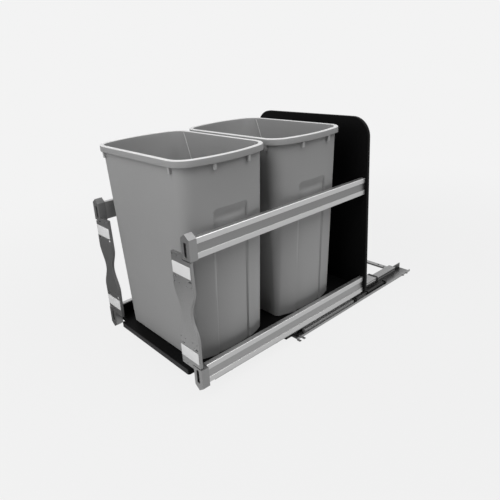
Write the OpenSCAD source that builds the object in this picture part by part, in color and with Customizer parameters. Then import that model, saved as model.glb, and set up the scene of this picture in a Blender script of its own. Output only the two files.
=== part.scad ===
// Pull-out waste bin frame for a kitchen base cabinet.
// Millimetres, +Z up, the carriage pulls out towards -Y.
// The origin is on the cabinet floor, midway between the runners and halfway along them.

/* [Frame] */
// Distance between the outer faces of the side rails
frame_w = 356; // [340:1:380]
// Length of a side rail
rail_l = 505; // [450:1:540]
// Height of a side rail
rail_h = 40.5; // [38:0.5:44]
// Thickness of a side rail
rail_t = 12; // [11:0.5:14]
// Height from the lower rail's underside to the upper rail's underside
rail_rise = 260.5; // [220:0.5:300]
// Height of the sunk band along a rail's outer face
groove_h = 17.5; // [14:0.5:20]
// Depth of the sunk band
groove_d = 2; // [1:0.25:2.5]
// Height of the lower rail's underside above the cabinet floor
floor_gap = 33; // [32:0.5:40]
// How far the carriage is pulled out of the cabinet
pulled_out = 273; // [0:1:445]
// Distance the door side stands in front of the runners when closed
door_gap = 8; // [4:1:12]

/* [Front brackets] */
// Width of a front bracket
bracket_w = 25.4; // [24:0.2:28]
// Depth of a front bracket, from the door side back to the rail
bracket_d = 17; // [16:0.5:26]
// How far a bracket stands proud of the rail's outer face
bracket_proud = 5.4; // [3:0.2:7]
// Height of the gabled end of a bracket
bracket_gable = 9; // [6:0.5:12]
// Front wall of a bracket
bracket_wall = 2.2; // [2:0.1:3]
// Width of the driver slot in a bracket's front
driver_slot_w = 8.4; // [6:0.2:9]
// Length of the driver slot
driver_slot_l = 25; // [20:0.5:26]

/* [Door plates] */
// Height of a door plate
plate_h = 237.5; // [225:0.5:245]
// Width of a door plate where it is widest
plate_w = 62; // [58:0.5:64]
// Width of a door plate at its waist
plate_waist = 29; // [24:0.5:36]
// Width of a door plate at its two ends
plate_end_w = 58; // [54:0.5:62]
// Sheet thickness of a door plate
plate_t = 2.5; // [2:0.1:3]
// Depth of the turned edge round a door plate
plate_edge = 6; // [4:0.5:7]
// Height adjustment of a door plate, up and down
plate_adjust = 2; // [1:0.25:2.5]
// Width and height of an adhesive pad
pad_w = 56; // [50:0.5:57]
pad_h = 24; // [20:0.5:26]
// Thickness of an adhesive pad
pad_t = 1; // [0.6:0.1:1.5]

/* [Boards] */
// Thickness of the base tray
tray_t = 11; // [9:0.5:16]
// Thickness of the tray's upright sides
tray_side_t = 3; // [2:0.5:5]
// Height of the tray's upright sides above its floor
tray_side_h = 24; // [10:0.5:26]
// Thickness of the back panel
panel_t = 9.6; // [8:0.2:12]
// How far the back panel reaches past each rail's outer face
panel_over = 5.5; // [1:0.5:12]
// Height of the back panel's top edge above the lower rail's underside
panel_top = 444.5; // [420:0.5:480]
// Radius of the back panel's top corners
panel_r = 46; // [30:1:80]

/* [Bins] */
// Height of a bin
bin_h = 420; // [380:1:450]
// Depth of a bin's rim, front to back
bin_d = 220; // [200:1:224]
// How far the rim's widest part stays inside the rails' inner faces, less than 0 if it overhangs
bin_side_gap = -5; // [-6:0.5:6]
// How far the long sides of a bin bow outwards
bin_bow = 20; // [8:1:22]
// Corner radius of a bin's wall at the rim
bin_r = 37; // [24:1:44]
// Corner radius of a bin's wall at the bottom
bin_foot_r = 13; // [8:1:24]
// How far each long side draws in from the rim to the bottom
bin_draft_w = 24; // [8:0.5:28]
// How far the front and back draw in from the rim to the bottom
bin_draft_d = 12.5; // [6:0.5:16]
// Wall of a bin
bin_wall = 2.5; // [2:0.1:3.5]
// Height of a bin's rim
rim_h = 13.5; // [10:0.5:18]
// How far the rim stands out from the wall
rim_out = 6; // [4:0.5:8]
// Distance from the front of the frame to the front bin's rim
bin_front = 11.5; // [8:0.5:24]
// Distance from the front bin's rim to the rear bin's rim
bin_pitch = 235; // [228:1:240]
// Width of the sunk panel in each long side
recess_w = 84; // [60:1:100]
// Depth of the sunk panel
recess_d = 3.5; // [2:0.25:5]
// Height of the sunk panel's top edge above the bin's bottom
recess_top = 322; // [280:1:350]

/* [Runners] */
// Length of a cabinet runner
runner_l = 486; // [470:1:520]
// Height of the runner's raised track
track_h = 19; // [18:0.5:21]
// Width of the runner's raised track
track_w = 22; // [20:0.5:24]
// Sheet thickness of the runner
runner_t = 1.6; // [1.2:0.1:2]
// Wall of the track and of the sliding runners, which holds the ball grooves
race_t = 3.2; // [3:0.1:3.6]
// Height of the runner's outer lip
lip_h = 6; // [4:0.5:8]
// Diameter of the bearing balls
ball_d = 4; // [3.6:0.1:4.2]
// Radius of the cabinet screw holes
screw_hole_r = 2.25; // [2:0.05:2.75]
// Travel of the soft-close slider
close_travel = 45; // [40:1:48]

/* [Hidden] */
$fn = 64;

// Clearance between pieces that slide past each other
run_gap = 0.3;
// Clearance between pieces that are fixed together
fit_gap = 0.15;
// Overlap that joins the solids of one piece
weld = 0.5;

// Places along Y
runner_front = -runner_l / 2;
runner_back = runner_l / 2;
front_y = runner_front - door_gap - pulled_out;
rail_front = front_y + bracket_d;
rail_back = rail_front + rail_l;

// Heights of the frame
upper_rail_z = floor_gap + rail_rise;
mid_z = floor_gap + (rail_rise + rail_h) / 2;
tray_lift = 3;
tray_z = floor_gap + tray_lift;
tray_top = tray_z + tray_t;
panel_drop = 1;
panel_bottom = floor_gap - panel_drop;

// Rails
rail_out = frame_w / 2;
rail_in = rail_out - rail_t;
rail_mid_x = rail_out - rail_t / 2;
band_h = (rail_h - groove_h) / 2;
rail_wall = 1.8;
hollow_w = rail_t - groove_d - 2 * rail_wall;
hollow_in = 0.8;
hollow_h = groove_h - 2 * hollow_in;
channel_up = 0.6;
channel_in = band_h / 2 + channel_up;
channel_z = [channel_in, rail_h - channel_in];

// Telescoping slide: the track, the middle runner and the carriage runner nest round one centre line
slide_inset = 44;
slide_x = rail_out - slide_inset;
ball_r = ball_d / 2;
race_gap = 1.6;
groove_r = ball_r + run_gap;
cage_t = 0.8;
cage_slack = 0.2;
cage_hole_r = ball_r + cage_slack;
track_half = track_w / 2;
middle_in = track_half + race_gap;
middle_out = middle_in + race_t;
carriage_in = middle_out + race_gap;
carriage_out = carriage_in + race_t;
ball_drop = 7.5;
skirt_below = 4;
lower_ball_z = track_h - ball_drop;
middle_bottom = lower_ball_z - skirt_below;
cage_room = 2.6;
middle_top_t = 2.4;
middle_under = track_h + cage_room;
middle_top = middle_under + middle_top_t;
upper_ball_z = middle_top - skirt_below;
carriage_skirt = 5;
carriage_bottom = upper_ball_z - carriage_skirt;
carriage_top_t = 2.6;
closed_gap = 2;
half_travel = pulled_out / 2;
middle_short = 6.5;
middle_l = runner_l - middle_short;
middle_front = runner_front + closed_gap - half_travel;
middle_back = middle_front + middle_l;
collar_l = 8;
collar_in = 0.6;
collar_out = 0.7;
collar_r = 5;
middle_r = 1.5;
carriage_set_back = 34;
carriage_short = 8;
carriage_front = front_y + carriage_set_back;
carriage_back = rail_back - carriage_short;
track_short = 39;
track_back = runner_back - track_short;
cage_l = 150;
cage_balls = 8;
cage_drop = 3;
cage_lift = 0.9;
lower_cage_start = 123;
upper_cage_start = 130;
lower_cage_y = runner_front + lower_cage_start - pulled_out / 4;
upper_cage_y = runner_front + upper_cage_start - 3 * pulled_out / 4;

// Cabinet runner
lip_inset = 7.5;
lip_out = rail_out - lip_inset;
web_out = 1;
web_x = slide_x + web_out;
track_top_t = 2;
track_r = 4;
web_h = track_h - track_top_t;
web_lap = 6;
web_gap = 2;
floor_hole_out = 30;
floor_hole_x = slide_x + floor_hole_out;
floor_hole_end = 13;
floor_hole_y = runner_l / 2 - floor_hole_end;
extra_hole_end = 83;
extra_hole_y = runner_back - extra_hole_end;
ear_l = 6;
front_ear_w = 9;
rear_ear_w = 3;
front_ear_starts = [0, 14.5];
front_ear_ys = [for (e = front_ear_starts) runner_front + e];
rear_ear_ends = [38.5, 19.5];
rear_ear_ys = [for (e = rear_ear_ends) runner_back - e];

// Rear cross bar
bar_w = 13;
bar_h = 5;
bar_inset = 30;
bar_y = runner_back - bar_inset;
bar_tab_h = 15;
bar_hole_r = 2.5;
bar_hole_insets = [51, 33];
bar_hole_xs = [for (i = bar_hole_insets) web_x - i];
rivet_r = 1.6;
rivet_head_r = 2.8;
rivet_head_t = 1;
rivet_apart = 6.4;
rivet_ys = [bar_y - rivet_apart / 2, bar_y + rivet_apart / 2];
rivet_z = 10.5;

// Soft close
close_gap = 1.2;
close_lip_gap = 2.8;
close_x = slide_x + carriage_out + close_gap;
close_w = lip_out - runner_t - close_lip_gap - close_x;
close_h = 10.4;
housing_start = 29;
housing_l = 191;
housing_y = [runner_front + housing_start, runner_front + housing_start + housing_l];
slider_l = 11;
slider_over = 0.8;
slider_h = close_h + slider_over;
slider_gap = 4;
slider_y = housing_y[1] + slider_gap;
slider_notch = 4;
barrel_r = 4;
rod_r = 1.8;
barrel_gap = 6;
barrel_y = slider_y + slider_l + close_travel + barrel_gap;
barrel_l = 78;
barrel_x = close_x + barrel_r + run_gap;
barrel_wall = 4;
barrel_bottom = barrel_y + barrel_l - barrel_wall;
barrel_z = runner_t + barrel_r + fit_gap;
cap_l = 7;
catch_y = slider_y + slider_l / 2 - pulled_out + close_travel;
catch_l = 8;
catch_w = 8;
catch_gap = 0.5;
sprung_groove_w = 3;
sprung_groove_d = 2;

// Front guide beside the track
guide_w = 7.5;
guide_gap = 0.6;
guide_h = middle_bottom - guide_gap - runner_t;
guide_l = 42;
guide_nose = 20;
guide_step = 4;
guide_wing_w = lip_out - runner_t - run_gap - slide_x - track_half;
guide_wing_l = 7.5;

// Front brackets
bracket_x1 = rail_out + bracket_proud;
bracket_x0 = bracket_x1 - bracket_w;
bracket_mid_x = (bracket_x0 + bracket_x1) / 2;
bracket_lift = 1.5;
bracket_over = 2;
bracket_z0 = upper_rail_z + bracket_lift;
bracket_z1 = upper_rail_z + rail_h + bracket_over;
cavity_d = 6.5;
cavity_y = front_y + bracket_wall + cavity_d;
side_wall = 3;
bracket_roof = 2;
driver_slot_in = 0.8;
driver_slot_up = 8.5;
driver_foot_r = driver_slot_w / 2;
driver_slot_x = bracket_mid_x - driver_slot_in;
driver_slot_z = bracket_z0 + driver_slot_up;
clamp_z = driver_slot_z + driver_slot_l / 2;
clamp_r = 2;
clamp_head_r = 3.6;
clamp_head_t = 2;
clamp_wall = 2;
bracket_screw_head_r = 3.4;
bracket_screw_r = 1.8;
counterbore_d = 3;
head_drop = 0.4;
bracket_screw_reach = 24;
spigot_l = 25;

// Door plates
plate_inset = 26.5;
plate_mid_x = rail_out - plate_inset;
plate_swell = 52;
plate_steps = 12;
plate_wall = 2;
tongue_gap = 1.5;
tongue_clear = 1;
tongue_root = 10;
tongue_short = 5;
tongue_y = cavity_y - tongue_gap - plate_t;
tongue_side = side_wall + tongue_clear;
tongue_z = [bracket_z0 - plate_adjust - tongue_root, bracket_z1 - plate_adjust - tongue_short];
notch_gap = 0.5;
notch_x = bracket_x0 - notch_gap;
notch_z = bracket_z0 - plate_adjust - run_gap;
door_slot_dx = 21;
door_slot_dz = 70.5;
door_slot_l = 13;
door_slot_r = 2.1;
pilot_r = 1.5;
pilot_dx = [12, 26];
pilot_dz = 59;
pilot_end_dz = 114;
pad_dz = 88.5;

// Tray and panel
tray_half = rail_in - run_gap;
tray_set_back = 2.5;
tray_front = front_y + tray_set_back;
panel_w = frame_w + 2 * panel_over;
tray_notch_w = 32;
tray_notch_past = 1;
tray_notch_l = bracket_d - tray_set_back + tray_notch_past;
tray_corner_r = 5;
board_screw_r = 2;
screw_slack = 0.1;
board_head_r = 4;
board_head_t = 2.2;
panel_screw_l = 30;
tray_skin = 3;
rail_screw_d = 3;
screw_end_gap = 0.5;
flange_in = 1;
rail_screw_step = 15;
tray_edge_pitch = 90;
tray_edge_xs = [-tray_edge_pitch, 0, tray_edge_pitch];
tray_flange_w = 16;
tray_screw_n = 4;
tray_screw_x = slide_x - carriage_out - tray_flange_w / 2;
flange_t = 2;
rail_screw_n = 4;
run_inset = 30;

// Bins
rim_half_w = rail_in - bin_side_gap;
bin_slice = 0.01;
bow_steps = 20;
corner_steps = 9;
recess_bottom = 8;
recess_r = 10;
gusset_t = 3;
gusset_h = 12;
gusset_x = 122;
gusset_y = 42;
gusset_in = 1;

// Draws what it holds on the right side for side = 1 and mirrored for side = -1
module on_side(side) {
    if (side > 0) children();
    else mirror([1, 0, 0]) children();
}

// Draws what it holds at the upper rails for level = 1 and mirrored at the lower rails for level = -1
module at_level(level) {
    if (level > 0) children();
    else translate([0, 0, 2 * mid_z]) mirror([0, 0, 1]) children();
}

// Extrudes an outline given in X and Z from y0 to y1
module along_y(y0, y1) {
    translate([0, y1, 0]) rotate([90, 0, 0]) linear_extrude(y1 - y0) children();
}

// n values from low to high, evenly apart
function spread(n, low, high) = [for (i = [0:n - 1]) low + (high - low) * i / (n - 1)];

// A round bar along Y
module rod_y(x, z, r, y0, y1) {
    translate([x, y1, z]) rotate([90, 0, 0]) cylinder(r = r, h = y1 - y0);
}

// An upside-down U round the slide's centre line, with its upper corners rounded by corner
module saddle(inner, outer, bottom, under, top, corner = 0) {
    difference() {
        union() {
            translate([slide_x - outer, bottom]) square([2 * outer, top - corner - bottom]);
            translate([slide_x - outer + corner, bottom]) square([2 * (outer - corner), top - bottom]);
            if (corner > 0) for (s = [-1, 1])
                translate([slide_x + s * (outer - corner), top - corner]) circle(r = corner);
        }
        translate([slide_x - inner, bottom - 1]) square([2 * inner, under - bottom + 1]);
    }
}

// The two ball grooves on either side of the slide's centre line
module race_grooves(half, z) {
    for (s = [-1, 1]) translate([slide_x + s * half, z]) circle(r = groove_r);
}

function cage_ball_ys(y0) = [for (i = [0:cage_balls - 1]) y0 + cage_l * (i + 0.5) / cage_balls];

module ball_cage(half, bottom, under, ball_z, y0) {
    inner = half + (race_gap - cage_t) / 2;
    difference() {
        along_y(y0, y0 + cage_l) saddle(inner, inner + cage_t, bottom, under, under + cage_t);
        for (y = cage_ball_ys(y0))
            translate([slide_x - half - race_gap - 1, y, ball_z]) rotate([0, 90, 0])
                cylinder(r = cage_hole_r, h = 2 * (half + race_gap + 1));
    }
}

module ball_set(half, ball_z, y0) {
    for (y = cage_ball_ys(y0), s = [-1, 1])
        translate([slide_x + s * (half + race_gap / 2), y, ball_z]) sphere(r = ball_r);
}

module lower_ball_cage() {
    ball_cage(track_half, lower_ball_z - cage_drop, track_h + cage_lift, lower_ball_z, lower_cage_y);
}

module upper_ball_cage() {
    ball_cage(middle_out, upper_ball_z - cage_drop, middle_top + cage_lift, upper_ball_z, upper_cage_y);
}

module cabinet_runner() {
    difference() {
        union() {
            along_y(runner_front, track_back) difference() {
                saddle(track_half - race_t, track_half, 0, track_h - track_top_t, track_h, track_r);
                race_grooves(track_half + race_gap / 2, lower_ball_z);
            }
            translate([slide_x + track_half - weld, runner_front, 0])
                cube([lip_out - slide_x - track_half + weld, runner_l, runner_t]);
            translate([web_x, track_back - web_lap, 0])
                cube([slide_x + track_half - web_x, track_short + web_lap, runner_t]);
            translate([web_x, track_back + web_gap, 0]) cube([runner_t, track_short - web_gap, web_h]);
            translate([lip_out - runner_t, runner_front, 0]) cube([runner_t, runner_l, lip_h]);
            for (y = front_ear_ys) translate([lip_out - weld, y - ear_l / 2, 0])
                cube([front_ear_w + weld, ear_l, runner_t]);
            for (y = rear_ear_ys) translate([lip_out - weld, y - ear_l / 2, 0])
                cube([rear_ear_w + weld, ear_l, runner_t]);
        }
        for (y = [-floor_hole_y, extra_hole_y, floor_hole_y])
            translate([floor_hole_x, y, -1]) cylinder(r = screw_hole_r, h = runner_t + 2);
        for (y = rivet_ys)
            translate([web_x - 1, y, rivet_z]) rotate([0, 90, 0])
                cylinder(r = rivet_r + screw_slack, h = runner_t + 2);
    }
}

module rear_cross_bar() {
    color("#8f9295") difference() {
        union() {
            translate([-web_x, bar_y - bar_w / 2, 0]) difference() {
                cube([2 * web_x, bar_w, bar_h]);
                translate([-1, runner_t, -1])
                    cube([2 * web_x + 2, bar_w - 2 * runner_t, bar_h - runner_t + 1]);
            }
            for (s = [0, 1]) mirror([s, 0, 0])
                translate([web_x - runner_t, bar_y - bar_w / 2, 0]) cube([runner_t, bar_w, bar_tab_h]);
        }
        for (x = bar_hole_xs, s = [-1, 1])
            translate([s * x, bar_y, 0]) cylinder(r = bar_hole_r, h = bar_h + 1);
        for (y = rivet_ys)
            translate([-web_x - 1, y, rivet_z]) rotate([0, 90, 0])
                cylinder(r = rivet_r + screw_slack, h = 2 * web_x + 2);
    }
}

module cross_bar_rivets() {
    color("#c4c6c8") for (s = [0, 1], y = rivet_ys) mirror([s, 0, 0])
        translate([web_x, y, rivet_z]) rotate([0, 90, 0]) {
            translate([0, 0, -runner_t]) cylinder(r = rivet_r, h = 2 * runner_t);
            translate([0, 0, -runner_t - rivet_head_t]) cylinder(r = rivet_head_r, h = rivet_head_t);
            translate([0, 0, runner_t]) cylinder(r = rivet_head_r, h = rivet_head_t);
        }
}

module front_guide() {
    color("#151515") translate([slide_x + track_half, runner_front - guide_nose, runner_t]) difference() {
        union() {
            cube([guide_w, guide_l, guide_h]);
            translate([0, guide_nose, 0]) cube([guide_wing_w, guide_wing_l, guide_h]);
        }
        translate([-1, -1, guide_h / 2]) cube([guide_w + 2, guide_step + 1, guide_h]);
    }
}

module soft_close_housing() {
    nose = close_w / 2;
    color("#8c8e90") translate([close_x, housing_y[0], runner_t]) difference() {
        linear_extrude(close_h) union() {
            translate([0, nose]) square([close_w, housing_l - nose]);
            translate([nose, nose]) circle(r = nose);
        }
        translate([nose - sprung_groove_w / 2, 2 * nose, close_h - sprung_groove_d])
            cube([sprung_groove_w, housing_l, sprung_groove_d + 1]);
    }
}

module damper_barrel() {
    color("#1c1c1c") difference() {
        rod_y(barrel_x, barrel_z, barrel_r, barrel_y, barrel_y + barrel_l);
        rod_y(barrel_x, barrel_z, rod_r + run_gap, barrel_y - 1, barrel_bottom);
    }
}

module damper_end_cap() {
    color("#151515") translate([close_x, barrel_y + barrel_l, runner_t]) cube([close_w, cap_l, slider_h]);
}

module soft_close_slider() {
    color("#101010") translate([close_x, slider_y, runner_t + run_gap]) difference() {
        cube([close_w, slider_l, slider_h - run_gap]);
        translate([-1, (slider_l - slider_notch) / 2, slider_h - slider_notch])
            cube([close_w + 2, slider_notch, slider_notch + 1]);
    }
}

module damper_rod() {
    color("#c8cacc")
        rod_y(barrel_x, barrel_z, rod_r, slider_y + slider_l, barrel_bottom - run_gap - close_travel);
}

module middle_runner() {
    along_y(middle_front, middle_back) difference() {
        saddle(middle_in, middle_out, middle_bottom, middle_under, middle_top, middle_r);
        race_grooves(track_half + race_gap / 2, lower_ball_z);
        race_grooves(middle_out + race_gap / 2, upper_ball_z);
    }
}

module end_collar() {
    color("#121212") along_y(middle_back, middle_back + collar_l)
        saddle(middle_in - collar_in, middle_out + collar_out, middle_bottom, middle_under - collar_in,
            middle_top + collar_out, collar_r);
}

module carriage_runner() {
    flange_w = rail_out - flange_in - slide_x - carriage_out;
    difference() {
        union() {
            along_y(carriage_front, carriage_back) difference() {
                saddle(carriage_in, carriage_out, carriage_bottom, tray_z - carriage_top_t, tray_z);
                race_grooves(middle_out + race_gap / 2, upper_ball_z);
            }
            translate([slide_x - carriage_out - tray_flange_w, carriage_front, tray_z - carriage_top_t])
                cube([tray_flange_w + weld, carriage_back - carriage_front, carriage_top_t]);
            translate([slide_x + carriage_out - weld, carriage_front, floor_gap - flange_t])
                cube([flange_w + weld, carriage_back - carriage_front, flange_t]);
        }
        for (y = tray_screw_ys()) translate([tray_screw_x, y, tray_z - carriage_top_t - 1])
            cylinder(r = board_screw_r + screw_slack, h = carriage_top_t + 2);
        for (y = rail_screw_ys()) translate([rail_mid_x, y, floor_gap - flange_t - 1])
            cylinder(r = board_screw_r + screw_slack, h = flange_t + 2);
    }
}

function tray_screw_ys() = spread(tray_screw_n, carriage_front + run_inset, carriage_back - run_inset);
function rail_screw_ys() =
    let (inset = run_inset + rail_screw_step)
    spread(rail_screw_n, carriage_front + inset, carriage_back - inset);

module catch_finger() {
    bottom = runner_t + slider_h + catch_gap;
    color("#141414") translate([slide_x + carriage_out, catch_y - catch_l / 2, bottom])
        cube([catch_w, catch_l, floor_gap - flange_t - bottom]);
}

// The tray in plan, narrower between the front brackets and with rounded front corners
module tray_outline() {
    front_half = tray_half - tray_notch_w;
    corner_x = front_half - tray_corner_r;
    translate([-tray_half, tray_front + tray_notch_l]) square([2 * tray_half, rail_l - tray_notch_past]);
    translate([-front_half, tray_front + tray_corner_r])
        square([2 * front_half, tray_notch_l - tray_corner_r + weld]);
    translate([-corner_x, tray_front]) square([2 * corner_x, tray_corner_r + weld]);
    for (s = [-1, 1]) translate([s * corner_x, tray_front + tray_corner_r]) circle(r = tray_corner_r);
}

module base_tray() {
    color("#131313") difference() {
        union() {
            translate([0, 0, tray_z]) linear_extrude(tray_t) tray_outline();
            for (s = [0, 1]) mirror([s, 0, 0])
                translate([tray_half - tray_side_t, tray_front + tray_notch_l, tray_top - weld])
                    cube([tray_side_t, rail_l - tray_notch_past, tray_side_h + weld]);
        }
        for (s = [-1, 1], y = tray_screw_ys()) translate([s * tray_screw_x, y, tray_z - 1])
            cylinder(r = board_screw_r + screw_slack, h = tray_t - tray_skin + 1);
        for (x = tray_edge_xs) rod_y(x, tray_z + tray_t / 2, board_screw_r + screw_slack,
            rail_back - panel_screw_l, rail_back + 1);
    }
}

// Places of the screws through the back panel, as X and Z
function panel_screw_places() = concat(
    [for (s = [-1, 1], z = [floor_gap, upper_rail_z], c = channel_z) [s * rail_mid_x, z + c]],
    [for (x = tray_edge_xs) [x, tray_z + tray_t / 2]]
);

module back_panel() {
    half = panel_w / 2;
    top = floor_gap + panel_top;
    color("#131313") difference() {
        along_y(rail_back, rail_back + panel_t) union() {
            translate([-half, panel_bottom]) square([panel_w, top - panel_r - panel_bottom]);
            translate([-half + panel_r, top - panel_r - weld])
                square([panel_w - 2 * panel_r, panel_r + weld]);
            for (s = [-1, 1]) translate([s * (half - panel_r), top - panel_r]) circle(r = panel_r, $fn = 96);
        }
        for (p = panel_screw_places())
            rod_y(p[0], p[1], board_screw_r + screw_slack, rail_back - 1, rail_back + panel_t + 1);
    }
}

module side_rail(z0) {
    color("#b4b6b8") difference() {
        along_y(rail_front, rail_back) difference() {
            translate([rail_in, z0]) square([rail_t, rail_h]);
            translate([rail_out - groove_d, z0 + band_h]) square([groove_d + 1, groove_h]);
            translate([rail_in + rail_wall, z0 + (rail_h - hollow_h) / 2]) square([hollow_w, hollow_h]);
            for (c = channel_z) translate([rail_mid_x, z0 + c]) circle(r = board_screw_r + screw_slack);
        }
        if (z0 < mid_z - rail_h) for (y = rail_screw_ys()) translate([rail_mid_x, y, z0 - 1])
            cylinder(r = board_screw_r + screw_slack, h = rail_screw_d + 1);
    }
}

// One front bracket at the upper right rail
module bracket() {
    hollow_z = upper_rail_z + (rail_h - hollow_h) / 2 + fit_gap;
    color("#77797b") difference() {
        union() {
            along_y(front_y, rail_front) polygon([
                [bracket_x0, bracket_z0],
                [bracket_x1, bracket_z0],
                [bracket_x1, bracket_z1],
                [bracket_mid_x, bracket_z1 + bracket_gable],
                [bracket_x0, bracket_z1]
            ]);
            translate([rail_in + rail_wall + fit_gap, rail_front - weld, hollow_z])
                cube([hollow_w - 2 * fit_gap, spigot_l + weld, hollow_h - 2 * fit_gap]);
        }
        translate([bracket_x0 + side_wall, front_y + bracket_wall, bracket_z0 - 1])
            cube([bracket_w - 2 * side_wall, cavity_d, bracket_z1 - bracket_z0 - bracket_roof + 1]);
        translate([driver_slot_x - driver_slot_w / 2, front_y - 1, driver_slot_z])
            cube([driver_slot_w, bracket_wall + 2, driver_slot_l]);
        rod_y(driver_slot_x, driver_slot_z, driver_foot_r, front_y - 1, front_y + bracket_wall + 1);
        rod_y(driver_slot_x, clamp_z, clamp_r + screw_slack, cavity_y - 1, rail_front - clamp_wall);
        for (c = channel_z) {
            rod_y(rail_mid_x, upper_rail_z + c, bracket_screw_r + screw_slack, cavity_y - 1, rail_front + 1);
            rod_y(rail_mid_x, upper_rail_z + c, bracket_screw_head_r + screw_slack, cavity_y - 1,
                cavity_y + counterbore_d);
        }
    }
}

module bracket_screws() {
    head_y = cavity_y + counterbore_d;
    color("#c4c6c8") for (s = [-1, 1], level = [-1, 1], c = channel_z)
        on_side(s) at_level(level) {
            rod_y(rail_mid_x, upper_rail_z + c, bracket_screw_head_r, cavity_y + head_drop, head_y);
            rod_y(rail_mid_x, upper_rail_z + c, bracket_screw_r, head_y, rail_front + bracket_screw_reach);
        }
}

module clamp_screws() {
    head_y = tongue_y - fit_gap;
    color("#3a3b3c") for (s = [-1, 1], level = [-1, 1]) on_side(s) at_level(level) {
        rod_y(driver_slot_x, clamp_z, clamp_head_r, head_y - clamp_head_t, head_y);
        rod_y(driver_slot_x, clamp_z, clamp_r, head_y, rail_front - clamp_wall - weld);
    }
}

module panel_screws() {
    head_y = rail_back + panel_t;
    color("#c4c6c8") for (p = panel_screw_places()) {
        rod_y(p[0], p[1], board_head_r, head_y, head_y + board_head_t);
        rod_y(p[0], p[1], board_screw_r, head_y - panel_screw_l + screw_end_gap, head_y);
    }
}

module tray_screws() {
    length = board_head_t + carriage_top_t + tray_t - tray_skin - screw_end_gap;
    color("#c4c6c8") for (s = [-1, 1], y = tray_screw_ys())
        translate([s * tray_screw_x, y, tray_z - carriage_top_t - board_head_t]) {
            cylinder(r = board_head_r, h = board_head_t);
            cylinder(r = board_screw_r, h = length);
        }
}

module rail_screws() {
    color("#c4c6c8") for (s = [-1, 1], y = rail_screw_ys())
        translate([s * rail_mid_x, y, floor_gap - flange_t - board_head_t]) {
            cylinder(r = board_head_r, h = board_head_t);
            cylinder(r = board_screw_r, h = board_head_t + flange_t + rail_screw_d - screw_end_gap);
        }
}

// Half width of a door plate at the height dz above its middle
function plate_half(dz) =
    abs(dz) < plate_swell
        ? (plate_waist + (plate_w - plate_waist) * (1 - cos(180 * dz / plate_swell)) / 2) / 2
        : (plate_w - (plate_w - plate_end_w) * (abs(dz) - plate_swell) / (plate_h / 2 - plate_swell)) / 2;

// Outline of a door plate, drawn in by inset
module plate_outline(inset) {
    swell = [for (i = [-plate_steps:plate_steps]) plate_swell * i / plate_steps];
    heights = concat([inset - plate_h / 2], swell, [plate_h / 2 - inset]);
    right = [for (dz = heights) [plate_half(dz) - inset, dz]];
    left = [for (i = [len(heights) - 1:-1:0]) [inset - plate_half(heights[i]), heights[i]]];
    translate([plate_mid_x, mid_z]) polygon(concat(right, left));
}

// Corner that the plate leaves free for a bracket
module plate_notch() {
    for (level = [1, -1]) at_level(level)
        translate([notch_x, front_y - 1, notch_z]) cube([plate_w, plate_edge + 2, plate_h]);
}

// A slot with round ends, from front to back through the sheet
module door_slot(x, z) {
    reach = door_slot_l / 2 - door_slot_r;
    for (s = [-1, 1]) rod_y(x + s * reach, z, door_slot_r, front_y - 1, front_y + plate_t + 1);
    translate([x - reach, front_y - 1, z - door_slot_r]) cube([2 * reach, plate_t + 2, 2 * door_slot_r]);
}

// Tongue that slides in a bracket, with the slot for the clamp screw
module plate_tongue() {
    width = bracket_w - 2 * tongue_side;
    difference() {
        union() {
            translate([bracket_x0 + tongue_side, tongue_y, tongue_z[0]])
                cube([width, plate_t, tongue_z[1] - tongue_z[0]]);
            translate([bracket_x0 + tongue_side, front_y + plate_t - weld, tongue_z[0]])
                cube([width, tongue_y - front_y, notch_z - tongue_z[0]]);
        }
        for (s = [-1, 1])
            rod_y(driver_slot_x, clamp_z + s * plate_adjust, clamp_r + run_gap, tongue_y - 1,
                tongue_y + plate_t + 1);
        translate([driver_slot_x - clamp_r - run_gap, tongue_y - 1, clamp_z - plate_adjust])
            cube([2 * (clamp_r + run_gap), plate_t + 2, 2 * plate_adjust]);
    }
}

module door_plate() {
    color("#75777a") difference() {
        union() {
            difference() {
                union() {
                    along_y(front_y, front_y + plate_t) plate_outline(0);
                    along_y(front_y, front_y + plate_edge) difference() {
                        plate_outline(0);
                        plate_outline(plate_wall);
                    }
                }
                plate_notch();
            }
            for (level = [1, -1]) at_level(level) plate_tongue();
        }
        for (sx = [-1, 1], sz = [-1, 1]) {
            door_slot(plate_mid_x + sx * door_slot_dx, mid_z + sz * door_slot_dz);
            for (dx = pilot_dx) rod_y(plate_mid_x + sx * dx, mid_z + sz * pilot_dz, pilot_r,
                front_y - 1, front_y + plate_t + 1);
        }
        for (dx = pilot_dx, sz = [-1, 1]) rod_y(plate_mid_x - dx, mid_z + sz * pilot_end_dz, pilot_r,
            front_y - 1, front_y + plate_t + 1);
    }
}

module adhesive_pads() {
    color("#dcdcda") for (sz = [-1, 1])
        translate([plate_mid_x - pad_w / 2, front_y - pad_t, mid_z + sz * pad_dz - pad_h / 2])
            cube([pad_w, pad_t, pad_h]);
}

// Radius of the arc that a bin's long side bows along
function bow_r(half_d) = (half_d * half_d + bin_bow * bin_bow) / (2 * bin_bow);

// Points of a bin's outline in plan: long sides that bow outwards, and round corners that run on from them
function bin_ring(half_w, half_d, corner) =
    let (
        bow = bow_r(half_d),
        bow_x = half_w - bow,
        corner_y = half_d - corner,
        corner_x = bow_x + sqrt(pow(bow - corner, 2) - pow(corner_y, 2)),
        turn = asin(corner_y / (bow - corner)),
        side = [for (a = spread(bow_steps, -turn, turn)) [bow_x + bow * cos(a), bow * sin(a)]],
        arc = [for (a = spread(corner_steps, turn, 90))
            [corner_x + corner * cos(a), corner_y + corner * sin(a)]],
        right = concat(
            [for (i = [corner_steps - 1:-1:1]) [arc[i][0], -arc[i][1]]],
            side,
            [for (i = [1:corner_steps - 1]) arc[i]]
        )
    )
    concat(right, [for (p = right) -p]);

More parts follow.
